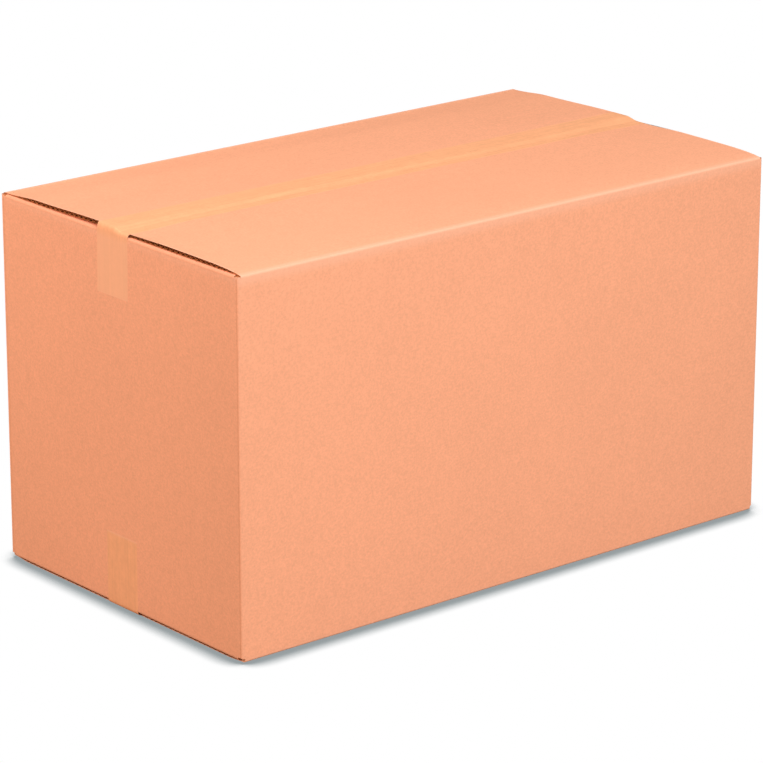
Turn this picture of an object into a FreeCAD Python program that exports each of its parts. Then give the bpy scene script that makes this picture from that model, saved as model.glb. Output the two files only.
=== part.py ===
"""Closed shipping carton of corrugated board, with tape along its top and bottom seams.

Millimetres, +Z up. The origin is the middle of the footprint, on the surface that the carton
stands on. X runs along the length, Y across the width.

The carton is one slotted blank, folded into a tube and glued at the corner (+X, +Y). The long
walls (-Y and +Y) carry the major flaps, which meet along the middle of the top and the bottom.
The end walls (-X and +X) carry the minor flaps, which lie inside them. The flutes of the board
run round the tube, so they show as waves where the major flaps are cut off at the ends.
"""

import FreeCAD
import Part
import Sketcher
import math
import os

# Every size that can be set by itself, in millimetres or degrees
SIZES = [
    ("length", 690, "outside length, over the end walls"),
    ("width", 390, "outside width, over the long walls"),
    ("fold_height", 391, "floor to the top folds of the long walls"),
    ("board", 4, "thickness of the corrugated board"),
    ("pressed_board", 2.4, "thickness of the bottom major flaps, pressed by the load"),
    ("liner", 0.4, "thickness of the board's flat face papers"),
    ("medium", 0.35, "thickness of the wavy paper between them"),
    ("flute_pitch", 8, "distance from one wave to the next"),
    ("flute_tip", 1, "inside radius at the tip of a wave"),
    ("flute_angle", 45, "slope of a wave's sides, in degrees"),
    ("pressed_angle", 20, "slope of a wave's sides in the pressed bottom flaps, in degrees"),
    ("fold_radius", 2.5, "outside radius of every fold"),
    ("slot_drop", 3, "how far the slots between the flaps run past the folds"),
    ("flap_inset", 3, "from an end wall's outer face to the cut end of a major flap"),
    ("side_clearance", 0.5, "between a minor flap's side and the fold at the glued corner"),
    ("flap_gap", 0.3, "between a minor flap and the major flap over it"),
    ("seam_gap", 1.5, "between the two major flaps at the seam"),
    ("front_crush", 25, "width of the crushed strip beside the front wall's top fold"),
    ("back_crush", 55, "width of the crushed strip beside the back wall's top fold"),
    ("bottom_crush", 40, "width of the crushed strip beside a bottom fold"),
    ("minor_drop", 1, "how far the top minor flaps lie below the long walls' folds"),
    ("front_lift", 0.3, "rise of the front top flap from its crushed strip to the seam"),
    ("back_lift", 1.8, "rise of the back top flap from its crushed strip to the seam"),
    ("bottom_rise", 1.5, "how far the bottom folds stay clear of the bottom flaps' plane"),
    ("tab_width", 35, "width of the glue tab inside the back wall"),
    ("tab_thickness", 3, "thickness of the pressed glue tab"),
    ("tab_taper", 12, "how much each end of the glue tab slopes off"),
    ("glue_gap", 0.5, "glue line between the tab and the back wall"),
    ("raw_inset", 1, "from the end wall's outer face to the back wall's raw edge"),
    ("tape_width", 50, "width of the packing tape"),
    ("tape_thickness", 0.1, "thickness of the packing tape"),
    ("top_shift", 5, "how far the top tape lies off the seam, towards the back"),
    ("top_tail", 65, "length of the top tape down each end wall"),
    ("tail_lean", 2, "how far the foot of a top tape's tail leans towards the back"),
    ("bottom_tail", 78, "height of the bottom tape's ends above the floor"),
]

# Heights of the folds and faces, from the floor up
BOTTOM_OUTER = "Sizes.tape_thickness"
BOTTOM_INNER = f"({BOTTOM_OUTER} + Sizes.pressed_board)"
BOTTOM_MINOR = f"({BOTTOM_INNER} + Sizes.flap_gap)"
BOTTOM_FOLD = f"({BOTTOM_OUTER} + Sizes.bottom_rise)"
WALL_FOOT = f"({BOTTOM_MINOR} + Sizes.slot_drop)"
TOP_FOLD = "Sizes.fold_height"
TOP_MINOR = f"({TOP_FOLD} - Sizes.minor_drop)"
TOP_INNER = f"({TOP_MINOR} + Sizes.flap_gap)"
TOP_OUTER = f"({TOP_INNER} + Sizes.board)"
WALL_HEAD = f"({TOP_FOLD} - Sizes.slot_drop)"

# Distances inward from the outer face of a long wall
TAB_FACE = "(Sizes.board + Sizes.glue_gap)"
MINOR_SIDE = f"({TAB_FACE} + Sizes.fold_radius + Sizes.side_clearance)"
FLAP_REACH = "(Sizes.width / 2 - Sizes.seam_gap / 2)"


def fill_sheet(doc):
    """The driving dimensions, one row each: what it is, and its value under its alias."""
    sheet = doc.addObject("Spreadsheet::Sheet", "Sizes")
    for row, (alias, value, meaning) in enumerate(SIZES, start=1):
        sheet.set(f"A{row}", meaning)
        sheet.set(f"B{row}", str(value))
        sheet.setAlias(f"B{row}", alias)
    doc.recompute()


def new_sketch(body, name, plane, offset="0"):
    """A sketch on one of the body's origin planes, moved along the plane's normal by an offset."""
    sketch = body.newObject("Sketcher::SketchObject", name)
    support = [feature for feature in body.Origin.OriginFeatures if feature.Role == plane]
    sketch.AttachmentSupport = [(support[0], "")]
    sketch.MapMode = "FlatFace"
    sketch.setExpression(".AttachmentOffset.Base.z", offset)
    return sketch


def bind(sketch, kind, geometry, point, expression):
    """One coordinate of a point, measured from the sketch's origin and tied to an expression."""
    value = float(sketch.evalExpression(expression))
    index = sketch.addConstraint(Sketcher.Constraint(kind, -1, 1, geometry, point, value))
    sketch.setExpression(f"Constraints[{index}]", expression)


def add_outline(sketch, corners, centres=None):
    """A closed outline through corners given as pairs of expressions.

    The side that starts at a corner is straight, unless centres has that corner's index: then
    it is an arc, the short way round the centre given there.
    """
    centres = centres or {}
    spots = [FreeCAD.Vector(*(float(sketch.evalExpression(text)) for text in pair)) for pair in corners]
    ends = []
    for index, start in enumerate(spots):
        finish = spots[(index + 1) % len(spots)]
        if index in centres:
            ends.append(add_arc(sketch, start, finish, centres[index]))
        else:
            ends.append((sketch.addGeometry(Part.LineSegment(start, finish)), 1, 2))
    for index, (side, first, _) in enumerate(ends):
        previous, _, last = ends[index - 1]
        sketch.addConstraint(Sketcher.Constraint("Coincident", previous, last, side, first))
        across, up = corners[index]
        arc_before = (index - 1) % len(spots) in centres
        steep = arc_before and is_steep(sketch, spots[index], centres[(index - 1) % len(spots)])
        if not (arc_before and not steep):
            bind(sketch, "DistanceY", side, first, up)
        if not steep:
            bind(sketch, "DistanceX", side, first, across)


def is_steep(sketch, spot, centre):
    """True where an arc's end lies more beside its centre than above or below it."""
    middle = [float(sketch.evalExpression(text)) for text in centre]
    return abs(spot.x - middle[0]) > abs(spot.y - middle[1])


def add_arc(sketch, start, finish, centre):
    """An arc from start to finish, and which of its ends is which."""
    middle = FreeCAD.Vector(*(float(sketch.evalExpression(text)) for text in centre))
    angles = [math.atan2((end - middle).y, (end - middle).x) for end in (start, finish)]
    turn = (angles[1] - angles[0]) % (2 * math.pi)
    counter_clockwise = turn < math.pi
    if not counter_clockwise:
        angles.reverse()
    circle = Part.Circle(middle, FreeCAD.Vector(0, 0, 1), (start - middle).Length)
    side = sketch.addGeometry(Part.ArcOfCircle(circle, *angles))
    bind(sketch, "DistanceX", side, 3, centre[0])
    bind(sketch, "DistanceY", side, 3, centre[1])
    return (side, 1, 2) if counter_clockwise else (side, 2, 1)


def pad(body, sketch, name, length, symmetric=False):
    """A solid of the given length on a sketch, to both sides of it where symmetric."""
    feature = body.newObject("PartDesign::Pad", name)
    feature.Profile = sketch
    if symmetric:
        feature.SideType = "Symmetric"
    feature.setExpression("Length", length)
    return feature


def add_walls(body):
    """The tube of four walls: three rounded folds, and the glued corner with its raw edge."""
    sketch = new_sketch(body, "WallSection", "XY_Plane", WALL_FOOT)
    end, side, bend = "Sizes.length / 2", "Sizes.width / 2", "Sizes.fold_radius"
    tab_face = f"{side} - {TAB_FACE}"
    outside = [
        (f"-{end} + {bend}", f"-{side}"),
        (f"{end} - {bend}", f"-{side}"),
        (end, f"-{side} + {bend}"),
        (end, f"{tab_face} - {bend}"),
        (f"{end} - {bend}", tab_face),
        (f"{end} - {bend}", f"{side} - Sizes.board"),
        (f"{end} - Sizes.raw_inset", f"{side} - Sizes.board"),
        (f"{end} - Sizes.raw_inset", side),
        (f"-{end} + {bend}", side),
        (f"-{end}", f"{side} - {bend}"),
        (f"-{end}", f"-{side} + {bend}"),
    ]
    folds = {
        1: (f"{end} - {bend}", f"-{side} + {bend}"),
        3: (f"{end} - {bend}", f"{tab_face} - {bend}"),
        8: (f"-{end} + {bend}", f"{side} - {bend}"),
        10: (f"-{end} + {bend}", f"-{side} + {bend}"),
    }
    add_outline(sketch, outside, folds)
    inner_end, inner_side = f"({end} - Sizes.board)", f"({side} - Sizes.board)"
    inside = [
        (f"-{inner_end}", f"-{inner_side}"),
        (inner_end, f"-{inner_side}"),
        (inner_end, inner_side),
        (f"-{inner_end}", inner_side),
    ]
    add_outline(sketch, inside)
    pad(body, sketch, "Walls", f"{WALL_HEAD} - {WALL_FOOT}")


def add_glue_tab(body):
    """The tab that the end wall's fold carries, glued inside the back wall, with sloped ends."""
    sketch = new_sketch(body, "TabOutline", "XZ_Plane", "-(Sizes.width / 2 - Sizes.board)")
    root = "Sizes.length / 2 - Sizes.board"
    tip = f"{root} - Sizes.tab_width"
    foot, head = f"{WALL_FOOT} + Sizes.board", f"{WALL_HEAD} - Sizes.board"
    outline = [
        (root, foot),
        (root, head),
        (tip, f"{head} - Sizes.tab_taper"),
        (tip, f"{foot} + Sizes.tab_taper"),
    ]
    add_outline(sketch, outline)
    pad(body, sketch, "GlueTab", "Sizes.glue_gap + Sizes.tab_thickness")


def flat_width(crush):
    """The width of a major flap from its crushed strip to the seam."""
    return f"({FLAP_REACH} - {crush})"


def add_major_flap(body, name, side, up, levels, crush, lift):
    """A major flap with its fold, thin at the fold where the board is crushed.

    side is -1 for the front wall and 1 for the back, up is 1 for the top and -1 for the bottom.
    levels are the heights of the wall's end, the fold, and the flap's outer and inner face.
    crush is the width of its crushed strip, lift its rise from there to the seam. The profile
    starts inside the wall, one thickness of board past its end.
    """
    wall_end, fold, outer, inner = levels
    sketch = new_sketch(body, name + "Profile", "YZ_Plane")
    root, bend = f"{wall_end} - {up} * Sizes.board", "Sizes.fold_radius"
    inward_and_height = [
        ("Sizes.board", root),
        ("Sizes.board", inner),
        (crush, inner),
        (FLAP_REACH, f"{inner} + {lift}"),
        (FLAP_REACH, f"{outer} + {lift}"),
        (crush, outer),
        (bend, fold),
        ("0", f"{fold} - {up} * {bend}"),
        ("0", root),
    ]
    corners = [(f"{side} * (Sizes.width / 2 - {inward})", height) for inward, height in inward_and_height]
    centre = (f"{side} * (Sizes.width / 2 - {bend})", f"{fold} - {up} * {bend}")
    add_outline(sketch, corners, {6: centre})
    pad(body, sketch, name, "Sizes.length - 2 * Sizes.flap_inset", symmetric=True)


def add_minor_flaps(body, name, up, wall_end, outer):
    """The pair of minor flaps at the top or bottom, folded in from the end walls."""
    sketch = new_sketch(body, name + "Profile", "XZ_Plane")
    root, inner = f"{wall_end} - {up} * Sizes.board", f"{outer} - {up} * Sizes.board"
    bend = "Sizes.fold_radius"
    inward_and_height = [
        ("Sizes.board", root),
        ("Sizes.board", inner),
        (FLAP_REACH, inner),
        (FLAP_REACH, outer),
        (bend, outer),
        ("0", f"{outer} - {up} * {bend}"),
        ("0", root),
    ]
    corners = [(f"-(Sizes.length / 2 - {inward})", height) for inward, height in inward_and_height]
    centre = (f"-(Sizes.length / 2 - {bend})", f"{outer} - {up} * {bend}")
    add_outline(sketch, corners, {4: centre})
    flap = pad(body, sketch, name, f"Sizes.width - 2 * {MINOR_SIDE}", symmetric=True)
    mirror(body, name + "Pair", [flap])


def mirror(body, name, originals):
    """The same features at the other end of the length."""
    feature = body.newObject("PartDesign::Mirrored", name)
    feature.Originals = originals
    planes = [plane for plane in body.Origin.OriginFeatures if plane.Role == "YZ_Plane"]
    feature.MirrorPlane = (planes[0], [""])
    body.Tip = feature
    return feature


def flute_count(side, crush):
    """How many whole waves a major flap has between its crushed strip and the seam.

    On the front flap the last wave's lower hollow reaches half a wave further.
    """
    past_end = "0.5" if side < 0 else "0"
    return f"floor({flat_width(crush)} / Sizes.flute_pitch - {past_end})"


def add_flutes(body, name, side, crush, outer_face, lift, board, angle):
    """The open channels of one major flap: a wave's two hollows, cut through and repeated.

    The first wave starts at the crushed strip on the front side and ends there on the back. The
    sketch lies at the flap's upper face, with its first axis along the flap towards +Y.
    """
    sketch = new_sketch(body, name + "Wave", "YZ_Plane")
    flat, waves = flat_width(crush), flute_count(side, crush)
    past_crush = "0" if side < 0 else f"{waves} * Sizes.flute_pitch"
    sketch.setExpression(".AttachmentOffset.Base.x", f"{side} * (Sizes.width / 2 - {crush} - {past_crush})")
    sketch.setExpression(".AttachmentOffset.Base.y", f"{outer_face} + {lift} * {past_crush} / {flat}")
    sketch.setExpression(".AttachmentOffset.Rotation.Angle", f"-({side}) * atan({lift} / {flat})")
    rise = f"({board} - 2 * Sizes.liner - Sizes.medium)"
    tip = "Sizes.flute_tip"
    half_tip = f"{tip} * sin({angle})"
    tip_height = f"{tip} * (1 - cos({angle}))"
    half_base = f"({half_tip} + ({rise} - {tip_height}) / tan({angle}))"
    upper_base = "-Sizes.liner"
    lower_base = f"-({board} - Sizes.liner)"
    hollows = [("Sizes.flute_pitch / 2", upper_base, -1), ("Sizes.flute_pitch", lower_base, 1)]
    for middle, base, up in hollows:
        shoulder = f"{base} + {up} * ({rise} - {tip_height})"
        corners = [
            (f"{middle} - {half_base}", base),
            (f"{middle} + {half_base}", base),
            (f"{middle} + {half_tip}", shoulder),
            (f"{middle} - {half_tip}", shoulder),
        ]
        add_outline(sketch, corners, {2: (middle, f"{base} + {up} * ({rise} - {tip})")})
    cut = cut_through(body, name, sketch)
    pattern = body.newObject("PartDesign::LinearPattern", name + "Row")
    pattern.Originals = [cut]
    pattern.Direction = (sketch, ["H_Axis"])
    pattern.Mode = "Spacing"
    pattern.setExpression("Offset", "Sizes.flute_pitch")
    pattern.setExpression("Occurrences", waves)
    body.Tip = pattern


def cut_through(body, name, sketch):
    """Cuts a sketch's outlines along the whole length of the carton."""
    cut = body.newObject("PartDesign::Pocket", name)
    cut.Profile = sketch
    cut.SideType = "Symmetric"
    cut.setExpression("Length", "Sizes.length")
    return cut


def add_squeezed_flutes(body, name, side, up, levels, crush):
    """The flattened hollows in a crushed strip, from full height down to where they close up.

    They take turns between the upper and the lower face paper, half a wave apart, and go on
    from the whole waves beside the strip, with a hollow on the lower paper at the strip's end.
    """
    _, fold, outer, inner = levels
    sketch = new_sketch(body, name + "Section", "YZ_Plane")
    base_half, tip_half = "(Sizes.flute_pitch / 2 - 2 * Sizes.medium)", "(2 * Sizes.medium)"
    paper, web = f"{up} * Sizes.liner", f"{up} * (Sizes.liner + Sizes.medium)"

    def outer_face(inward):
        share = f"min(1; ({inward} - Sizes.fold_radius) / ({crush} - Sizes.fold_radius))"
        return f"({fold} + ({outer} - {fold}) * {share})"

    def clear_height(inward):
        board = f"{up} * ({outer_face(inward)} - {inner})"
        return float(sketch.evalExpression(f"{board} - 2 * Sizes.liner - Sizes.medium"))

    half_waves = 0 if side < 0 else 1
    middle = f"({crush} - {half_waves} * Sizes.flute_pitch / 2)"
    while clear_height(f"({middle} - {base_half})") > 0:
        base = [f"({middle} - {base_half})", f"({middle} + {base_half})"]
        tip = [f"({middle} + {tip_half})", f"({middle} - {tip_half})"]
        on_upper_paper = half_waves % 2 == 1
        if on_upper_paper == (up > 0):
            heights = [f"{outer_face(inward)} - {paper}" for inward in base] + [f"{inner} + {web}"] * 2
        else:
            heights = [f"{inner} + {paper}"] * 2 + [f"{outer_face(inward)} - {web}" for inward in tip]
        across = [f"{side} * (Sizes.width / 2 - {inward})" for inward in base + tip]
        add_outline(sketch, list(zip(across, heights)))
        half_waves += 1
        middle = f"({crush} - {half_waves} * Sizes.flute_pitch / 2)"
    body.Tip = cut_through(body, name, sketch)


def make_carton(doc):
    """The folded blank: walls, glue tab, minor flaps, major flaps and their flutes."""
    body = doc.addObject("PartDesign::Body", "Carton")
    body.Label = "carton"
    add_walls(body)
    add_glue_tab(body)
    add_minor_flaps(body, "BottomMinor", -1, WALL_FOOT, BOTTOM_MINOR)
    add_minor_flaps(body, "TopMinor", 1, WALL_HEAD, TOP_MINOR)
    bottom_levels = (WALL_FOOT, BOTTOM_FOLD, BOTTOM_OUTER, BOTTOM_INNER)
    top_levels = (WALL_HEAD, TOP_FOLD, TOP_OUTER, TOP_INNER)
    pressed = ("Sizes.pressed_board", "Sizes.pressed_angle")
    whole = ("Sizes.board", "Sizes.flute_angle")
    flaps = [
        ("BottomFront", -1, -1, bottom_levels, "Sizes.bottom_crush", "0", BOTTOM_INNER, pressed),
        ("BottomBack", 1, -1, bottom_levels, "Sizes.bottom_crush", "0", BOTTOM_INNER, pressed),
        ("TopFront", -1, 1, top_levels, "Sizes.front_crush", "Sizes.front_lift", TOP_OUTER, whole),
        ("TopBack", 1, 1, top_levels, "Sizes.back_crush", "Sizes.back_lift", TOP_OUTER, whole),
    ]
    for name, side, up, levels, crush, lift, _, _ in flaps:
        add_major_flap(body, name, side, up, levels, crush, lift)
    for name, side, up, levels, crush, lift, upper_face, (board, angle) in flaps:
        add_flutes(body, name + "Flutes", side, crush, upper_face, lift, board, angle)
        add_squeezed_flutes(body, name + "Squeezed", side, up, levels, crush)
    return body


def tape_faces():
    """Where the top tape lies across the seam: places along Y and the flaps' heights there."""
    lip = "Sizes.seam_gap / 2"
    front_edge = "(Sizes.tape_width / 2 - Sizes.top_shift)"
    back_edge = "(Sizes.tape_width / 2 + Sizes.top_shift)"
    front_share = f"(1 - ({front_edge} - {lip}) / {flat_width('Sizes.front_crush')})"
    back_share = f"(1 - ({back_edge} - {lip}) / {flat_width('Sizes.back_crush')})"
    return [
        (f"-{front_edge}", f"{TOP_OUTER} + Sizes.front_lift * {front_share}"),
        (f"-{lip}", f"{TOP_OUTER} + Sizes.front_lift"),
        (lip, f"{TOP_OUTER} + Sizes.back_lift"),
        (back_edge, f"{TOP_OUTER} + Sizes.back_lift * {back_share}"),
    ]


def add_tape_section(body, name, offset, under):
    """The top tape's section across the seam, at a place along the length, on the points under it."""
    sketch = new_sketch(body, name, "YZ_Plane", offset)
    over = [(across, f"{height} + Sizes.tape_thickness") for across, height in reversed(under)]
    add_outline(sketch, under + over)
    return sketch


def make_top_tape(doc):
    """A strip over the top seam that bends down over both flap ends and onto the end walls."""
    body = doc.addObject("PartDesign::Body", "TopTape")
    body.Label = "top_tape"
    on_flaps = tape_faces()
    on_wall = [(across, TOP_MINOR) for across, _ in on_flaps]
    wall, flap_end = "-Sizes.length / 2", "-(Sizes.length / 2 - Sizes.flap_inset)"
    middle = add_tape_section(body, "StripSection", "0", on_flaps)
    pad(body, middle, "Strip", "Sizes.length - 2 * Sizes.flap_inset", symmetric=True)
    bend = body.newObject("PartDesign::AdditiveLoft", "EndBend")
    bend.Profile = add_tape_section(body, "FlapEndSection", flap_end, on_flaps)
    bend.Sections = [add_tape_section(body, "WallSection", wall, on_wall)]
    bend.Ruled = True
    outline = new_sketch(body, "TailOutline", "YZ_Plane", wall)
    (front, _), (back, _) = on_flaps[0], on_flaps[-1]
    head, foot = f"{TOP_MINOR} + Sizes.tape_thickness", f"{TOP_MINOR} - Sizes.top_tail"
    lean = "Sizes.tail_lean"
    tail_corners = [(f"{front} + {lean}", foot), (f"{back} + {lean}", foot), (back, head), (front, head)]
    add_outline(outline, tail_corners)
    tail = pad(body, outline, "Tail", "Sizes.tape_thickness")
    tail.Reversed = True
    mirror(body, "OtherEnd", [bend, tail])
    return body


def make_bottom_tape(doc):
    """A strip under the bottom seam that bends up over both flap ends and onto the end walls."""
    body = doc.addObject("PartDesign::Body", "BottomTape")
    body.Label = "bottom_tape"
    sketch = new_sketch(body, "TapePath", "XZ_Plane")
    wall, flap_end = "Sizes.length / 2", "Sizes.length / 2 - Sizes.flap_inset"
    half_path = [
        (f"{wall} + Sizes.tape_thickness", "Sizes.bottom_tail"),
        (f"{wall} + Sizes.tape_thickness", BOTTOM_MINOR),
        (flap_end, "0"),
    ]
    half_back = [
        (flap_end, BOTTOM_OUTER),
        (wall, BOTTOM_MINOR),
        (wall, "Sizes.bottom_tail"),
    ]
    far_path = [(f"-({along})", height) for along, height in reversed(half_path)]
    far_back = [(f"-({along})", height) for along, height in reversed(half_back)]
    add_outline(sketch, half_path + far_path + far_back + half_back)
    pad(body, sketch, "Tape", "Sizes.tape_width", symmetric=True)
    return body


def check(doc, bodies):
    """Stops where a feature failed or a piece isn't one sound solid."""
    failed = [item.Name for item in doc.Objects if {"Invalid", "Error"} & set(item.State)]
    if failed:
        raise RuntimeError(f"these features failed: {failed}")
    for body in bodies:
        shape = body.Shape
        if shape.isNull() or not shape.isValid() or len(shape.Solids) != 1:
            raise RuntimeError(f"{body.Label} isn't one sound solid")


def main():
    doc = FreeCAD.newDocument("ShippingCarton")
    fill_sheet(doc)
    bodies = [make_carton(doc), make_top_tape(doc), make_bottom_tape(doc)]
    doc.recompute()
    check(doc, bodies)
    os.makedirs("parts", exist_ok=True)
    for body in bodies:
        body.Shape.exportStep(os.path.join("parts", body.Label + ".step"))
        box = body.Shape.BoundBox
        print(f"{body.Label}: {len(body.Shape.Faces)} faces, {body.Shape.Volume / 1000:.1f} cm3, {box}")


main()
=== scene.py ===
import math

import bmesh
import bpy
import numpy as np
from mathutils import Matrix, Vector, noise
from mathutils.geometry import tessellate_polygon


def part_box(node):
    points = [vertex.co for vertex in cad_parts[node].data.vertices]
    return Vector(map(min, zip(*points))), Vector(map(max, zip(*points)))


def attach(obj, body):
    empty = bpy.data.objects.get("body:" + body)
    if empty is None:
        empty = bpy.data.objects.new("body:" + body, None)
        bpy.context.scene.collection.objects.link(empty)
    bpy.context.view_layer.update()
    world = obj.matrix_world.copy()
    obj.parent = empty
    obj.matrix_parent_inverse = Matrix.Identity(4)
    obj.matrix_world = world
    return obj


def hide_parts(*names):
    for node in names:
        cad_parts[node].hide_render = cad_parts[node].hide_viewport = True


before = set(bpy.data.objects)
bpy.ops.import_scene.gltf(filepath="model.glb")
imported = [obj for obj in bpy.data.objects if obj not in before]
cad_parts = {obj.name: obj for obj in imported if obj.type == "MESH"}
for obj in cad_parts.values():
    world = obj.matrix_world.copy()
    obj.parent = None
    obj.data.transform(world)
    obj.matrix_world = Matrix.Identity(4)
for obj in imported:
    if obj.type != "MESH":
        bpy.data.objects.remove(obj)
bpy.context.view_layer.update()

# The carton's own sizes, in metres, as its solid has them
MM = 0.001
BOARD = 4 * MM
PRESSED_BOARD = 2.4 * MM
LINER = 0.4 * MM
MEDIUM = 0.35 * MM
FLUTE_PITCH = 8 * MM
FOLD_RADIUS = 2.5 * MM
SLOT_DROP = 3 * MM
FLAP_INSET = 3 * MM
FLAP_GAP = 0.3 * MM
SEAM_GAP = 1.5 * MM
MINOR_DROP = 1 * MM
FRONT_LIFT = 0.3 * MM
BACK_LIFT = 1.8 * MM
BOTTOM_RISE = 1.5 * MM
TAB_WIDTH = 35 * MM
TAB_THICKNESS = 3 * MM
TAB_TAPER = 12 * MM
TAB_ROOT = 3 * MM
GLUE_GAP = 0.5 * MM
RAW_INSET = 1 * MM
TAPE = 0.1 * MM
TAPE_WIDTH = 50 * MM
TOP_SHIFT = 5 * MM
TAIL_LEAN = 2 * MM

# Places worked out from the frame
LOW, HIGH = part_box("carton")
HALF_LENGTH = HIGH.x
HALF_WIDTH = HIGH.y
BOTTOM_OUTER = LOW.z
BOTTOM_INNER = BOTTOM_OUTER + PRESSED_BOARD
BOTTOM_MINOR = BOTTOM_INNER + FLAP_GAP
BOTTOM_FOLD = BOTTOM_OUTER + BOTTOM_RISE
WALL_FOOT = BOTTOM_MINOR + SLOT_DROP
TOP_OUTER = HIGH.z - BACK_LIFT
TOP_INNER = TOP_OUTER - BOARD
TOP_MINOR = TOP_INNER - FLAP_GAP
TOP_FOLD = TOP_MINOR + MINOR_DROP
WALL_HEAD = TOP_FOLD - SLOT_DROP
FLAP_END = HALF_LENGTH - FLAP_INSET
FLAP_REACH = HALF_WIDTH - SEAM_GAP / 2
MINOR_HALF = HALF_WIDTH - BOARD - GLUE_GAP - FOLD_RADIUS - 0.5 * MM
TOP_TAIL_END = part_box("top_tape")[0].z
LOWER_TAPE_LOW, LOWER_TAPE_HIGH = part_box("bottom_tape")

# How far in from the wall a flap is crushed by its fold, and where it lifts towards the seam
FRONT_CRUSH = 19 * MM
BACK_CRUSH = (6 * MM, 60 * MM)
BOTTOM_CRUSH = 25 * MM
FRONT_LIFT_RUN = (60 * MM, 150 * MM)
LIFT_RUN = (60 * MM, 160 * MM)

# The tube's corners: how far they stand over the walls' head, and where their inner points lie
HEAD_RISE = 1.8 * MM
INNER_BEND = 1 * MM
INNER_SHARE = 0.7
APART = 0.1 * MM

# The pressed line beside an upright fold: its middle, and its depths at distances from there
CREASE_PLACE = 3.75 * MM
CREASE_HALF = 0.85 * MM
CREASE_LINE = [
    (-0.95 * MM, 0),
    (-0.45 * MM, 0.18 * MM),
    (0, 0.25 * MM),
    (0.45 * MM, 0.18 * MM),
    (0.95 * MM, 0),
]

# The slack of the board: its depth on the walls and on the top, and the noise that varies it
WALL_DEPTH = BOARD + 0.1 * MM
WALL_SLACK = 0.55 * MM
WALL_RIPPLE = 0.12 * MM
END_SLACK = 0.7
TOP_SAG = 0.35 * MM
TOP_RIPPLE = 0.1 * MM
SAG_MARGIN = 30 * MM
RIPPLE_SHARE = 0.6
RIPPLE_SCALE = 9
FINE_SCALE = 26

# Where the tape presses the front flap's end: in from the end, before the seam and past it
PRESSED_SHARE = 0.34
PRESS_FROM_END = (15 * MM, 90 * MM)
PRESS_BEFORE_SEAM = (-80 * MM, -28 * MM)
PRESS_PAST_SEAM = (-3 * MM, 8 * MM)

# Flutes that are open to view
FIRST_WAVE = 8 * MM
WAVE_SHIFT = 1 * MM
WAVE_STEPS = 12
THINNEST_HOLLOW = 0.12 * MM
RAW_EDGE_DEPTH = 30 * MM

# The tape: its bridge over the seam, its sawn ends and the turn over the carton's ends
BRIDGE_START = -8 * MM
BRIDGE_STOP = 0.7 * MM
TOOTH = 0.5 * MM
TOOTH_ROOT = 1.5 * MM
TURN_DEPTH = 2 * MM
FILM_GAP = 0.01 * MM

# The middle of a fold's curve, in from each of its two faces
FOLD_MIDDLE = 0.7 * MM

# A mesh: least distances between its points, and the angle in degrees over which an edge is sharp
POINT_GAP = 0.05 * MM
WELD_DISTANCE = 0.5e-6
SHORTEST_EDGE = 1e-7
SHARP_ANGLE = 35

# Kinds of face on the carton, by their material
PAPER, FLUTE, CUT = 0, 1, 2

# Colours
KRAFT = (0.94, 0.43, 0.25, 1)
# The paler paper of the painted highlights at the folds and cut edges, in part also worn paper
KRAFT_PAINTED_HIGHLIGHT = (1.0, 0.58, 0.40, 1)
KRAFT_CUT = (0.50, 0.165, 0.06, 1)
KRAFT_DEEP = (0.46, 0.145, 0.045, 1)
TAPE_COLOUR = (0.94, 0.443, 0.224, 1)
TAPE_PALE = (0.97, 0.505, 0.31, 1)
WHITE = (1, 1, 1, 1)
WORLD_LIGHT = (0.39, 0.32, 0.24, 1)
FLOOR_COLOUR = (0.35, 0.27, 0.18, 1)
SHADOW_COLOUR = (0.31, 0.345, 0.355, 1)

# The noise's levels that give the darkest and the lightest tone
NOISE_RANGE = (0.3, 0.7)

# The soft shadow at the carton's foot: its reach, its lean, and the openness where it ends
SHADOW_REACH = 36 * MM
SHADOW_LEAN = (0.6, -0.3, 0.74)
SHADOW_RANGE = (0.56, 0.84)
SHADOW_SAMPLES = 24

# The floor's size, in metres
FLOOR_SIZE = 15

# Each lamp's name, place, aim, size, power and colour
LAMPS = [
    ("overhead", (0.8, -0.1, 2.5), (0.1, 0, 0.3), 2.0, 8.5, (0.65, 0.85, 1)),
    ("front", (-0.5, -3.0, 2.15), (0, 0, 0.2), 1.6, 103, (0.88, 0.915, 1)),
    ("side", (-1.65, 0.45, 1.4), (-0.3, 0, 0.2), 1.0, 24.5, (0.885, 0.79, 0.8)),
]

# The camera: angles in degrees, distance and aim in metres, lens and sensor in millimetres
CAMERA_AZIMUTH = -39.77
CAMERA_ELEVATION = 17.94
CAMERA_AIM = (-0.0103, -0.0019, 0.1705)
CAMERA_DISTANCE = 4.109
CAMERA_LENS = 186.6
CAMERA_SENSOR = 36


def smooth(value, start, stop):
    """Rises from 0 to 1 between start and stop, level at both ends."""
    share = min(max((value - start) / (stop - start), 0), 1)
    return share * share * (3 - 2 * share)


def fade(value, start, stop):
    """Falls from 1 to 0 between start and stop."""
    return 1 - smooth(value, start, stop)


def spread(start, stop, count):
    return [float(place) for place in np.linspace(start, stop, count)]


def from_both_ends(half, near, edge, count):
    """Places from one side to the other: near ones from each end, and even ones between."""
    middle = spread(edge - half, half - edge, count)
    return [place - half for place in near] + middle + [half - place for place in reversed(near)]


def closer_at_ends(half, count):
    """Places from one side to the other, closer together near both ends."""
    return from_both_ends(half, [0, 2 * MM, 5 * MM, 9 * MM], 18 * MM, count)


def places_along():
    return closer_at_ends(FLAP_END, 54)


def places_across():
    return closer_at_ends(MINOR_HALF, 30)


def channel_places():
    """Places along a hollow, closer together where the tape presses the flap's end."""
    return from_both_ends(FLAP_END, [0, 18 * MM, 55 * MM, 91 * MM], 180 * MM, 4)


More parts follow.
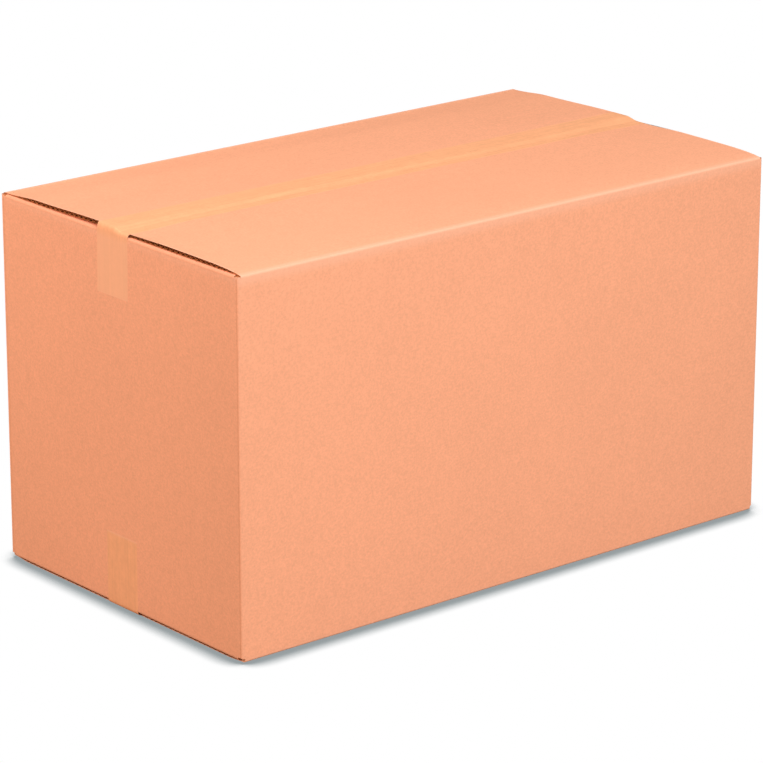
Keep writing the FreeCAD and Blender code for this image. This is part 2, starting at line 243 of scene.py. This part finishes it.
def wall_levels():
    """Shares of a wall's height, closer together near its foot and head."""
    reach = WALL_HEAD - WALL_FOOT
    near = [place * MM for place in (0, 1, 2, 3.5, 5, 7, 10, 14, 20)]
    middle = spread(30 * MM, reach - 30 * MM, 28)
    return [place / reach for place in near + middle + [reach - place for place in reversed(near)]]


def quarter(centre, radius, start, stop, steps=6):
    """Points on an arc between two angles in degrees, without its first one."""
    angles = [math.radians(start + (stop - start) * step / steps) for step in range(1, steps + 1)]
    return [(centre[0] + radius * math.cos(a), centre[1] + radius * math.sin(a)) for a in angles]


class Piece:
    """Collects the points and faces of one mesh; points that meet are welded at the end."""

    def __init__(self):
        self.points = []
        self.faces = []
        self.kinds = []

    def face(self, points, kind):
        first = len(self.points)
        self.points.extend(points)
        self.faces.append(tuple(range(first, first + len(points))))
        self.kinds.append(kind)

    def grid(self, rows, kind=PAPER):
        """Quads between rows of points."""
        first = len(self.points)
        width = len(rows[0])
        for row in rows:
            self.points.extend(row)
        for i in range(len(rows) - 1):
            for j in range(width - 1):
                start = first + i * width + j
                self.faces.append((start, start + 1, start + width + 1, start + width))
                self.kinds.append(kind)

    def cap(self, outline, holes, place, kind):
        """A flat face with holes; place turns a pair of numbers into a point."""
        loops = [outline] + holes
        pairs = [pair for loop in loops for pair in loop]
        triangles = tessellate_polygon([[Vector((a, b, 0)) for a, b in loop] for loop in loops])
        first = len(self.points)
        self.points.extend(place(a, b) for a, b in pairs)
        self.faces.extend(tuple(first + corner for corner in triangle) for triangle in triangles)
        self.kinds.extend([kind] * len(triangles))


def hollows(start, stop, low, high):
    """Outlines of the hollows that a wave leaves between two face papers, as pairs along and across.

    low and high give the board's two faces at a place between start and stop.
    """
    outlines = []
    waves = math.floor((stop - start) / FLUTE_PITCH)
    for half_wave in range(2 * waves - 1):
        middle = start + (half_wave + 1) * FLUTE_PITCH / 2
        side = 1 if half_wave % 2 == 0 else -1
        curve, face = [], []
        for step in range(-WAVE_STEPS // 2, WAVE_STEPS // 2 + 1):
            along = middle + FLUTE_PITCH * step / WAVE_STEPS
            floor, roof = low(along) + LINER, high(along) - LINER
            swing = math.cos(2 * math.pi * step / WAVE_STEPS)
            reach = (roof - floor - MEDIUM) / 2
            wave = (floor + roof) / 2 - side * reach * swing + side * MEDIUM / 2
            paper = roof if side > 0 else floor
            if side * (paper - wave) > THINNEST_HOLLOW:
                curve.append((along, wave))
                face.append((along, paper))
        if len(curve) > 2:
            outlines.append(curve + face[::-1])
    return outlines


def tube_stations():
    """Places round the tube from the back wall's raw edge to the tip of the glue tab.

    Each has an outer and an inner point in plan, the heights of its foot and head, and the name
    of the stretch that starts there.
    """
    side, bend = HALF_WIDTH, FOLD_RADIUS
    inner_end, inner_side = HALF_LENGTH - BOARD, HALF_WIDTH - BOARD
    bend_side = inner_side - INNER_BEND
    corner = HALF_LENGTH - bend
    runs, ends = places_along(), places_across()
    stations = []

    def add(outer, inner, stretch="corner", foot=WALL_FOOT, head=WALL_HEAD):
        if stretch == "corner" and head == WALL_HEAD:
            head += HEAD_RISE
        stations.append((outer, inner, foot, head, stretch))

    def add_corner(sign_x, sign_y, start, leaving, arriving):
        centre = (sign_x * corner, sign_y * (side - bend))
        outers = quarter(centre, bend, start, start + 90)
        for step, outer in enumerate(outers, start=1):
            share = step / len(outers)
            add(outer, tuple(a + (b - a) * share for a, b in zip(leaving, arriving)))

    def add_crease(sign_x, sign_y, leaving):
        """The pressed line beside an upright fold, on the end wall."""
        for offset, depth in CREASE_LINE if leaving else CREASE_LINE[::-1]:
            inward = CREASE_PLACE + offset
            inner_y = inner_side - INNER_SHARE * (inward - INNER_BEND)
            add((sign_x * (HALF_LENGTH - depth), sign_y * (side - inward)),
                (sign_x * inner_end, sign_y * inner_y))

    add((HALF_LENGTH - RAW_INSET, side), (HALF_LENGTH - RAW_INSET, inner_side))
    for x in reversed(runs):
        add((x, side), (x, inner_side), "back")
    add((-corner, side), (-FLAP_END - APART, inner_side))
    add_corner(-1, 1, 90, (-FLAP_END, inner_side), (-inner_end, bend_side))
    add_crease(-1, 1, True)
    for y in reversed(ends):
        add((-HALF_LENGTH, y), (-inner_end, y), "end")
    add_crease(-1, -1, False)
    add((-HALF_LENGTH, -side + bend), (-inner_end, -bend_side))
    add_corner(-1, -1, 180, (-inner_end, -bend_side), (-FLAP_END - APART, -inner_side))
    for x in runs:
        add((x, -side), (x, -inner_side), "front")
    add((corner, -side), (FLAP_END + APART, -inner_side))
    add_corner(1, -1, 270, (FLAP_END, -inner_side), (inner_end, -bend_side))
    add_crease(1, -1, True)
    for y in ends:
        add((HALF_LENGTH, y), (inner_end, y), "end")
    tab_outer = inner_side - GLUE_GAP
    tab_inner = tab_outer - TAB_THICKNESS
    add((HALF_LENGTH, tab_outer - bend), (inner_end, tab_inner - APART))
    for outer in quarter((corner, tab_outer - bend), bend, 0, 90):
        add(outer, (inner_end - (HALF_LENGTH - outer[0]), tab_inner))
    for share in (0, 1):
        x = inner_end - TAB_ROOT - (TAB_WIDTH - TAB_ROOT) * share
        cut = BOARD + TAB_TAPER * share
        add((x, tab_outer), (x, tab_inner), "corner", WALL_FOOT + cut, WALL_HEAD - cut)
    return stations


def upright(spot, foot, head, levels):
    """Points of a vertical line over a spot in plan."""
    return [(*spot, foot + (head - foot) * level) for level in levels]


def add_tube(piece, stations):
    """The walls and the glue tab, with the tube's open rims where no flap stands on it."""
    levels = wall_levels()
    for which in (0, 1):
        piece.grid([upright(station[which], station[2], station[3], levels) for station in stations])
    for here, ahead in zip(stations, stations[1:]):
        if here[4] != "corner" and ahead[4] == here[4]:
            continue
        for level in (2, 3):
            piece.face([(*here[0], here[level]), (*ahead[0], ahead[level]),
                        (*ahead[1], ahead[level]), (*here[1], here[level])], CUT)
    add_raw_edge(piece, levels)
    outer, inner, foot, head, _ = stations[-1]
    piece.grid([upright(outer, foot, head, levels), upright(inner, foot, head, levels)])


def add_raw_edge(piece, levels):
    """The back wall's cut edge at the glued corner, where the waves of the board show."""
    x, outer, inner = HALF_LENGTH - RAW_INSET, HALF_WIDTH, HALF_WIDTH - BOARD
    end = x - RAW_EDGE_DEPTH
    heights = [WALL_FOOT + (WALL_HEAD - WALL_FOOT) * level for level in levels]
    outline = [(height, inner) for height in heights] + [(height, outer) for height in reversed(heights)]
    waves = hollows(WALL_FOOT + 2 * MM, WALL_HEAD - 2 * MM, lambda _: inner, lambda _: outer)
    piece.cap(outline, waves, lambda along, across: (x, across, along), CUT)
    for wave in waves:
        add_channel(piece, wave, [x, end], lambda place, along, across: (place, across, along))
        piece.face([(end, across, along) for along, across in wave], FLUTE)


def add_channel(piece, outline, places, point):
    """The inside of one hollow, along places."""
    closed = outline + outline[:1]
    piece.grid([[point(place, *spot) for spot in closed] for place in places], FLUTE)


def top_rise(inward, side):
    """How far a top flap's outer face stands over its fold, for a distance in from the wall."""
    full = TOP_OUTER - TOP_FOLD
    if side < 0:
        crushed = 1 - math.exp(-(inward - FOLD_RADIUS) / FRONT_CRUSH)
        return full * crushed + FRONT_LIFT * smooth(inward, *FRONT_LIFT_RUN)
    return full * smooth(inward, *BACK_CRUSH) + BACK_LIFT * smooth(inward, *LIFT_RUN)


def top_under(inward, side):
    """The height of a top flap's inner face."""
    lift = FRONT_LIFT if side < 0 else BACK_LIFT
    return TOP_INNER + lift * smooth(inward, *LIFT_RUN)


def bottom_rise(inward):
    """How far a bottom flap's outer face lies under its fold."""
    return (BOTTOM_FOLD - BOTTOM_OUTER) * smooth(inward, FOLD_RADIUS, BOTTOM_CRUSH)


def major_profile(side, top):
    """Outer and inner path of a major flap, from the wall to the seam: inward and height."""
    steps = spread(FOLD_RADIUS, 16 * MM, 12) + spread(16 * MM, 60 * MM, 13)[1:]
    steps += spread(60 * MM, FLAP_REACH, 17)[1:]
    inner_steps = [inward for inward in steps if inward > BOARD]
    if top:
        wall_end, bend_level, end_angle = WALL_HEAD, TOP_FOLD - FOLD_RADIUS, 90
        face = [(inward, TOP_FOLD + top_rise(inward, side)) for inward in steps[1:]]
        inside = [(inward, top_under(inward, side)) for inward in inner_steps]
    else:
        wall_end, bend_level, end_angle = WALL_FOOT, BOTTOM_FOLD + FOLD_RADIUS, 270
        face = [(inward, BOTTOM_FOLD - bottom_rise(inward)) for inward in steps[1:]]
        inside = [(inward, BOTTOM_INNER) for inward in inner_steps]
    bend = quarter((FOLD_RADIUS, bend_level), FOLD_RADIUS, 180, end_angle)
    return [(0, wall_end), (0, bend_level)] + bend + face, [(BOARD, wall_end)] + inside


def height_on(path, inward):
    """The height of a flap's path at a distance in from the wall, past its first point."""
    places, heights = zip(*path[1:])
    return float(np.interp(inward, places, heights))


def add_flap(piece, outer, inner, waves, places, point, cut_kind):
    """Both faces of a flap, its far edge, and its two cut ends with the hollows of its flutes."""
    for path in (outer, inner):
        piece.grid([[point(place, *spot) for spot in path] for place in places])
    piece.grid([[point(place, *path[-1]) for place in places] for path in (outer, inner)], CUT)
    for end in (places[0], places[-1]):
        piece.cap(outer + inner[::-1], waves, lambda inward, height: point(end, inward, height), cut_kind)


def add_major_flap(piece, side, top):
    """One long flap with its rounded fold and with the hollows of its flutes open at both ends."""
    outer, inner = major_profile(side, top)
    upper, lower = (outer, inner) if top else (inner, outer)
    first = FIRST_WAVE - side * WAVE_SHIFT if top else FIRST_WAVE
    waves = hollows(first, FLAP_REACH - MM,
                    lambda inward: height_on(lower, inward), lambda inward: height_on(upper, inward))

    def point(x, inward, height):
        return (x, side * (HALF_WIDTH - inward), height)

    add_flap(piece, outer, inner, waves, places_along(), point, CUT if top else PAPER)
    for wave in waves:
        add_channel(piece, wave, channel_places(), point)


def add_minor_flap(piece, sign, top):
    """One short flap under the long ones, folded in from an end wall."""
    up, wall_end, outer_face = (1, WALL_HEAD, TOP_MINOR) if top else (-1, WALL_FOOT, BOTTOM_MINOR)
    inner_face = outer_face - up * BOARD
    bend = quarter((FOLD_RADIUS, outer_face - up * FOLD_RADIUS), FOLD_RADIUS, 180, 180 - up * 90)
    bend = [spot for spot in bend if up * (spot[1] - wall_end) > POINT_GAP]
    steps = spread(8 * MM, FLAP_REACH, 12)
    outer = [(0, wall_end)] + bend + [(place, outer_face) for place in steps]
    inner = [(BOARD, wall_end)] + [(place, inner_face) for place in steps]

    def point(y, inward, height):
        return (sign * (HALF_LENGTH - inward), y, height)

    add_flap(piece, outer, inner, [], places_across(), point, CUT)


def arch(place, half):
    """1 in the middle of a face and 0 at its edges."""
    return math.cos(math.pi * place / (2 * half)) if abs(place) < half else 0


def bow(point):
    """How the walls and flaps bend away from flat: slack board, a little hollow, never proud."""
    x, y, z = point
    span, across = arch(x, HALF_LENGTH) ** 0.5, arch(y, HALF_WIDTH) ** 0.5
    on_wall = WALL_FOOT < z < WALL_HEAD
    rise = max(0.0, math.sin(math.pi * (z - WALL_FOOT) / (WALL_HEAD - WALL_FOOT))) if on_wall else 0
    ripple = noise.noise(Vector((x * RIPPLE_SCALE, y * RIPPLE_SCALE, z * RIPPLE_SCALE + 5)))
    fine = noise.noise(Vector((x * FINE_SCALE, y * FINE_SCALE, z * FINE_SCALE)))
    depth = WALL_SLACK * (1 + RIPPLE_SHARE * ripple) + WALL_RIPPLE * (1 + fine)
    if abs(y) > HALF_WIDTH - WALL_DEPTH and rise:
        y -= math.copysign(depth * span * rise, y)
    elif abs(x) > HALF_LENGTH - WALL_DEPTH and rise:
        x -= math.copysign(END_SLACK * depth * across * rise, x)
    elif z > TOP_INNER:
        sag = TOP_SAG * (1 + ripple) + TOP_RIPPLE * (1 + fine)
        z -= sag * span * min(1, (HALF_WIDTH - abs(y)) / SAG_MARGIN)
        z -= press(x, y) * (z - TOP_INNER)
    return x, y, z


def press(x, y):
    """The share of its thickness that the front flap loses where the tape pulls its end down."""
    near_end = fade(HALF_LENGTH - abs(x), *PRESS_FROM_END)
    near_seam = smooth(y, *PRESS_BEFORE_SEAM) * fade(y, *PRESS_PAST_SEAM)
    return PRESSED_SHARE * near_end * near_seam


def pale_marks_and_painted_light(point):
    """How pale the paper is: painted highlight, in part also worn paper, most at the long top folds, little
    at the others.

    It is negative, so painted shade, on an end fold and in the crease beside an upright fold.
    """
    x, y, z = point
    beside, beyond = HALF_WIDTH - abs(y), HALF_LENGTH - abs(x)
    end_fold = math.hypot(beyond - FOLD_MIDDLE, z - (TOP_MINOR - FOLD_MIDDLE))
    # Painted shade along the curve of an end fold
    if end_fold < 3 * MM and abs(y) < MINOR_HALF:
        return -0.4 * fade(end_fold, 0.5 * MM, 3 * MM)
    on_end_wall = beyond < 1 * MM and WALL_FOOT + MM < z < WALL_HEAD - MM
    # Painted shade in the pressed crease beside an upright fold
    if on_end_wall and abs(beside - CREASE_PLACE) < CREASE_HALF:
        return smooth(abs(beside - CREASE_PLACE), 0, CREASE_HALF) - 1
    long_fold = math.hypot(beside - FOLD_MIDDLE, z - (TOP_FOLD - FOLD_MIDDLE))
    bottom = min(math.hypot(beside, z - BOTTOM_FOLD), math.hypot(beyond, z - BOTTOM_MINOR))
    flap_cut = abs(FLAP_END - abs(x)) if z > TOP_INNER + 2 * MM else 1
    under_end_fold = TOP_MINOR - z if beyond < 1 * MM and abs(y) < MINOR_HALF else 1
    pale_reach = 14 * MM if z < TOP_FOLD - FOLD_RADIUS else 7 * MM
    # Painted highlights, at the long top folds in part also worn paper: those folds and the pale tails
    # beside them, a band under each end fold, the bottom folds, the upright corners and the flaps' cut
    # edges
    return max(
        0.55 * fade(long_fold, 0.6 * MM, 4 * MM),
        0.35 * fade(long_fold, 3 * MM, pale_reach),
        0.22 * fade(under_end_fold, 2 * MM, 12 * MM),
        0.3 * fade(bottom, 1 * MM, 4 * MM),
        0.06 * fade(math.hypot(beyond, beside), 0.5 * MM, 3 * MM),
        0.9 * fade(flap_cut, 0, 2 * MM),
    )


def tail_lean(z):
    """How far an upper tail has gone aside at a height."""
    return TAIL_LEAN * max(0, TOP_MINOR - z) / (TOP_MINOR - TOP_TAIL_END)


def tape_edge(point):
    """How pale the tape is: most at its sawn ends, less along its edges and on the loose upper tails."""
    _, y, z = point
    if z > LOWER_TAPE_HIGH.z + 10 * MM:
        side = abs(abs(y - TOP_SHIFT - tail_lean(z)) - TAPE_WIDTH / 2)
        end = z - TOP_TAIL_END
        loose = 0.75 * smooth(TOP_MINOR - z, -3 * MM, 8 * MM)
    else:
        side = abs(abs(y) - TAPE_WIDTH / 2)
        end = LOWER_TAPE_HIGH.z - z
        loose = 0.1
    return max(fade(end, 0.8 * MM, 2.5 * MM), 0.45 * fade(side, 0, 1.5 * MM), loose)


def build(piece, name, materials, mark):
    """A mesh object of a piece, welded, with smooth faces between its sharp edges."""
    mesh = bpy.data.meshes.new(name)
    mesh.from_pydata(piece.points, [], piece.faces)
    mesh.polygons.foreach_set("material_index", piece.kinds)
    work = bmesh.new()
    work.from_mesh(mesh)
    bmesh.ops.remove_doubles(work, verts=work.verts, dist=WELD_DISTANCE)
    bmesh.ops.dissolve_degenerate(work, edges=work.edges, dist=SHORTEST_EDGE)
    # Each point's marks: painted highlight and painted shade on the board, paler sawn ends, edges and tails
    # on the tape
    layer = work.verts.layers.float.new("pale_marks_and_painted_light")
    for vertex in work.verts:
        vertex[layer] = mark(vertex.co)
        vertex.co = bow(vertex.co)
    bmesh.ops.recalc_face_normals(work, faces=work.faces)
    for face in work.faces:
        face.smooth = True
    work.to_mesh(mesh)
    work.free()
    mesh.set_sharp_from_angle(angle=math.radians(SHARP_ANGLE))
    for material in materials:
        mesh.materials.append(material)
    thing = bpy.data.objects.new(name, mesh)
    bpy.context.collection.objects.link(thing)
    return thing


def make_carton(materials):
    """The folded blank as one welded skin, hollow flutes and all."""
    piece = Piece()
    add_tube(piece, tube_stations())
    for top in (True, False):
        for sign in (-1, 1):
            add_major_flap(piece, sign, top)
            add_minor_flap(piece, sign, top)
    return build(piece, "carton_board", materials, pale_marks_and_painted_light)


def tape_height(front, back, y):
    """The height of the top flaps' outer paths under the tape, which bridges the step at the seam."""
    if y < BRIDGE_START:
        return height_on(front, HALF_WIDTH + y)
    if y > BRIDGE_STOP:
        return height_on(back, HALF_WIDTH - y)
    low = height_on(front, HALF_WIDTH + BRIDGE_START)
    high = height_on(back, HALF_WIDTH - BRIDGE_STOP)
    return low + (high - low) * smooth(y, BRIDGE_START, BRIDGE_STOP)


def tape_path(tail_end, tooth, turn_start, turn_level, face, up):
    """A tape's line from one tail's end to the other: along, height, and the way that it faces.

    up is 1 for the strip on top, whose tails hang down, and -1 for the strip below.
    """
    wall = HALF_LENGTH
    path = [(wall, tail_end + up * tooth, 1, 0), (wall, tail_end + up * TOOTH_ROOT, 1, 0)]
    path += [(wall, z, 1, 0) for z in spread(tail_end + up * 2 * TOOTH_ROOT, turn_level, 12)]
    for out, over in quarter((0, 0), 1, 0, 90, 8):
        x = turn_start + (wall - turn_start) * out
        path.append((x, turn_level + (face - turn_level) * over, out, up * over))
    path += [(x, face, 0, up) for x in spread(turn_start, 0, 31)[1:]]
    mirrored = [(-x, z, -out, over) for x, z, out, over in path[:-1]]
    return path + mirrored[::-1]


def make_tape(name, material, widths, path_at, lean):
    """A thin closed strip; path_at gives its line at a width, and lean its way aside at a height."""
    inside, outside = [], []
    for number, y in enumerate(widths):
        path = path_at(y, TOOTH * (number % 2))
        for rows, off in ((inside, FILM_GAP), (outside, TAPE)):
            rows.append([(x + out * off, y + lean(z), z + over * off) for x, z, out, over in path])
    piece = Piece()
    piece.grid(inside)
    piece.grid(outside)
    for edge in (0, -1):
        piece.grid([inside[edge], outside[edge]])
        piece.grid([[row[edge] for row in inside], [row[edge] for row in outside]])
    return build(piece, name, [material], tape_edge)


def make_top_tape(material):
    """The strip over the top seam, with a tail down each end wall."""
    front, back = (major_profile(side, True)[0] for side in (-1, 1))
    front_edge, back_edge = TOP_SHIFT - TAPE_WIDTH / 2, TOP_SHIFT + TAPE_WIDTH / 2
    widths = [front_edge, front_edge + 1 * MM] + spread(front_edge + 2.5 * MM, BRIDGE_START - 1 * MM, 5)
    widths += spread(BRIDGE_START, BRIDGE_STOP, 11) + spread(2 * MM, back_edge - 2.5 * MM, 13)
    widths += [back_edge - 1 * MM, back_edge]

    def path_at(y, tooth):
        height = tape_height(front, back, y)
        return tape_path(TOP_TAIL_END, tooth, FLAP_END - APART, TOP_MINOR - TURN_DEPTH, height, 1)

    return make_tape("top_tape_strip", material, widths, path_at, tail_lean)


def make_bottom_tape(material):
    """The strip under the bottom seam, with a tail up each end wall."""
    start, stop = LOWER_TAPE_LOW.y, LOWER_TAPE_HIGH.y
    widths = [start, start + 1 * MM] + spread(start + 2.5 * MM, stop - 2.5 * MM, 21) + [stop - 1 * MM, stop]

    def path_at(_, tooth):
        return tape_path(LOWER_TAPE_HIGH.z, tooth, FLAP_END, BOTTOM_MINOR + TURN_DEPTH, BOTTOM_OUTER, -1)

    return make_tape("bottom_tape_strip", material, widths, path_at, lambda _: 0)


def new_material(name):
    material = bpy.data.materials.new(name)
    material.use_nodes = True
    nodes = material.node_tree.nodes
    return material, nodes, material.node_tree.links, nodes["Principled BSDF"]


def set_surface(shader, roughness, specular):
    shader.inputs["Roughness"].default_value = roughness
    shader.inputs["Specular IOR Level"].default_value = specular


def noise_node(nodes, links, coordinates, scale, detail, stretch):
    """A noise texture on object coordinates, stretched where asked."""
    mapping = nodes.new("ShaderNodeMapping")
    mapping.inputs["Scale"].default_value = stretch
    links.new(coordinates, mapping.inputs["Vector"])
    texture = nodes.new("ShaderNodeTexNoise")
    texture.inputs["Scale"].default_value = scale
    texture.inputs["Detail"].default_value = detail
    links.new(mapping.outputs["Vector"], texture.inputs["Vector"])
    return texture.outputs["Fac"]


def ramp(nodes, links, source, low, high, dark, light):
    """A level that runs from dark to light while the source goes from low to high."""
    node = nodes.new("ShaderNodeMapRange")
    node.inputs["From Min"].default_value = low
    node.inputs["From Max"].default_value = high
    node.inputs["To Min"].default_value = dark
    node.inputs["To Max"].default_value = light
    links.new(source, node.inputs["Value"])
    return node.outputs["Result"]


def blend(nodes, links, kind, factor, first, second):
    """A colour mix; each input is a socket or a plain colour or number."""
    node = nodes.new("ShaderNodeMix")
    node.data_type = "RGBA"
    node.blend_type = kind
    for socket, value in ((node.inputs[0], factor), (node.inputs[6], first), (node.inputs[7], second)):
        if isinstance(value, bpy.types.NodeSocket):
            links.new(value, socket)
        else:
            socket.default_value = value
    return node.outputs[2]


def grey(nodes, links, value):
    node = nodes.new("ShaderNodeCombineColor")
    for socket in node.inputs:
        links.new(value, socket)
    return node.outputs["Color"]


def tone_and_painted_light(nodes, links, colour, other, stop, most):
    """A colour that turns to another as the mesh's own marks go from 0 to stop: painted highlight and
    painted shade on the board, paler sawn ends, edges and tails on the tape.
    """
    marks = nodes.new("ShaderNodeAttribute")
    marks.attribute_name = "pale_marks_and_painted_light"
    share = ramp(nodes, links, marks.outputs["Fac"], 0, stop, 0, most)
    return blend(nodes, links, "MIX", share, colour, other)


def mottled(nodes, links, colour, layers):
    """A colour multiplied by noise; each layer has a scale, detail, stretch, darkest and lightest level."""
    place = nodes.new("ShaderNodeTexCoord").outputs["Object"]
    for scale, detail, stretch, dark, light in layers:
        pattern = noise_node(nodes, links, place, scale, detail, stretch)
        level = ramp(nodes, links, pattern, *NOISE_RANGE, dark, light)
        colour = blend(nodes, links, "MULTIPLY", 1.0, colour, grey(nodes, links, level))
    return colour


def make_kraft():
    """Face paper: mottled, with fine fibres, with painted highlights along its folds and cut edges, in part
    also worn paper, and painted shade on an end fold and in its creases.
    """
    material, nodes, links, shader = new_material("kraft_liner")
    cloud = (7, 2, (1, 1, 1), 0.985, 1.012)
    blotch = (75, 3, (1, 1, 1), 0.987, 1.013)
    mottle = (480, 3, (1, 1, 1), 0.93, 1.055)
    fibre = (600, 2, (0.3, 0.3, 1), 0.975, 1.02)
    colour = mottled(nodes, links, KRAFT, [cloud, blotch, mottle, fibre])
    # Painted highlights at the folds and cut edges, in part also worn paper, where the marks rise to 1
    colour = tone_and_painted_light(nodes, links, colour, KRAFT_PAINTED_HIGHLIGHT, 1, 0.9)
    # Painted shade on an end fold and in the crease beside an upright fold, mixed towards the cut board's
    # colour where the marks fall to -1
    colour = tone_and_painted_light(nodes, links, colour, KRAFT_CUT, -1, 0.3)
    links.new(colour, shader.inputs["Base Color"])
    set_surface(shader, 0.8, 0.06)
    bump = nodes.new("ShaderNodeBump")
    bump.inputs["Strength"].default_value = 0.25
    bump.inputs["Distance"].default_value = 0.15 * MM
    place = nodes.new("ShaderNodeTexCoord").outputs["Object"]
    links.new(noise_node(nodes, links, place, 900, 3, (0.5, 0.5, 1)), bump.inputs["Height"])
    links.new(bump.outputs["Normal"], shader.inputs["Normal"])
    return material


def make_dark_paper(name, base):
    """The rough paper inside the flutes, and at the cut edges of the board."""
    material, nodes, links, shader = new_material(name)
    colour = mottled(nodes, links, base, [(300, 3, (1, 1, 1), 0.75, 1.2)])
    links.new(colour, shader.inputs["Base Color"])
    set_surface(shader, 0.9, 0.05)
    return material


def make_tape_film():
    """Packing tape: a smooth film, yellower than the board, with faint streaks along it."""
    material, nodes, links, shader = new_material("tape_film")
    streak = (330, 2, (0.03, 1, 0.03), 0.95, 1.045)
    mottle = (90, 3, (1, 1, 1), 0.965, 1.03)
    grain = (300, 2, (1, 1, 1), 0.97, 1.03)
    colour = mottled(nodes, links, TAPE_COLOUR, [streak, mottle, grain])
    colour = tone_and_painted_light(nodes, links, colour, TAPE_PALE, 1, 0.8)
    links.new(colour, shader.inputs["Base Color"])
    set_surface(shader, 0.7, 0.05)
    return material


def seen_directly(nodes, links):
    """1 for the camera and for mirrored or refracted sight, 0 for plain soft light."""
    path = nodes.new("ShaderNodeLightPath")
    seen = path.outputs["Is Camera Ray"]
    for name in ("Is Glossy Ray", "Is Transmission Ray"):
        join = nodes.new("ShaderNodeMath")
        join.operation = "MAXIMUM"
        links.new(seen, join.inputs[0])
        links.new(path.outputs[name], join.inputs[1])
        seen = join.outputs[0]
    return seen


def make_floor_material():
    """White to the eye apart from the carton's soft shadow, and pale to the light that it returns."""
    material, nodes, links, shader = new_material("floor_white")
    shader.inputs["Base Color"].default_value = FLOOR_COLOUR
    set_surface(shader, 0.9, 0.0)
    near = nodes.new("ShaderNodeAmbientOcclusion")
    near.inputs["Distance"].default_value = SHADOW_REACH
    near.inputs["Normal"].default_value = SHADOW_LEAN
    near.samples = SHADOW_SAMPLES
    light = ramp(nodes, links, near.outputs["AO"], *SHADOW_RANGE, 0, 1)
    glow = nodes.new("ShaderNodeEmission")
    links.new(blend(nodes, links, "MIX", light, SHADOW_COLOUR, WHITE), glow.inputs["Color"])
    choice = nodes.new("ShaderNodeMixShader")
    links.new(seen_directly(nodes, links), choice.inputs[0])
    links.new(shader.outputs[0], choice.inputs[1])
    links.new(glow.outputs[0], choice.inputs[2])
    links.new(choice.outputs[0], nodes["Material Output"].inputs["Surface"])
    return material


def make_stage():
    """A plain floor: one large triangle, so that no edge of it lies in view."""
    mesh = bpy.data.meshes.new("floor")
    corners = [(-2 * FLOOR_SIZE, -FLOOR_SIZE, 0), (2 * FLOOR_SIZE, -FLOOR_SIZE, 0), (0, 2 * FLOOR_SIZE, 0)]
    mesh.from_pydata(corners, [], [(0, 1, 2)])
    mesh.materials.append(make_floor_material())
    floor = bpy.data.objects.new("floor", mesh)
    bpy.context.collection.objects.link(floor)


def make_world():
    """White to the camera and to reflections, plain soft light to everything else."""
    world = bpy.data.worlds.new("studio")
    bpy.context.scene.world = world
    world.use_nodes = True
    nodes, links = world.node_tree.nodes, world.node_tree.links
    colour = blend(nodes, links, "MIX", seen_directly(nodes, links), WORLD_LIGHT, WHITE)
    links.new(colour, nodes["Background"].inputs["Color"])


def add_lamp(name, place, aim, size, power, colour):
    data = bpy.data.lights.new(name, "AREA")
    data.shape = "DISK"
    data.size = size
    data.energy = power
    data.color = colour
    lamp = bpy.data.objects.new(name, data)
    lamp.location = place
    lamp.rotation_euler = (Vector(aim) - Vector(place)).to_track_quat("-Z", "Y").to_euler()
    bpy.context.collection.objects.link(lamp)


def make_camera():
    """The photograph's view: from the left of the front, a little above."""
    azimuth, elevation = math.radians(CAMERA_AZIMUTH), math.radians(CAMERA_ELEVATION)
    level = math.cos(elevation)
    back = Vector((math.sin(azimuth) * level, -math.cos(azimuth) * level, math.sin(elevation)))
    data = bpy.data.cameras.new("camera")
    data.sensor_width = CAMERA_SENSOR
    data.lens = CAMERA_LENS
    camera = bpy.data.objects.new("camera", data)
    camera.location = Vector(CAMERA_AIM) + back * CAMERA_DISTANCE
    camera.rotation_euler = (-back).to_track_quat("-Z", "Y").to_euler()
    bpy.context.collection.objects.link(camera)
    bpy.context.scene.camera = camera


def main():
    bpy.context.scene.view_settings.view_transform = "Standard"
    make_camera()
    make_world()
    make_stage()
    for lamp in LAMPS:
        add_lamp(*lamp)
    board = [
        make_kraft(),
        make_dark_paper("kraft_flute", KRAFT_DEEP),
        make_dark_paper("kraft_cut", KRAFT_CUT),
    ]
    film = make_tape_film()
    carton = make_carton(board)
    top_tape = make_top_tape(film)
    bottom_tape = make_bottom_tape(film)
    for piece, node, slot in ((carton, "carton", "board"), (top_tape, "top_tape", "tape"),
                              (bottom_tape, "bottom_tape", "tape")):
        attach(piece, "root")
        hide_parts(node)


main()
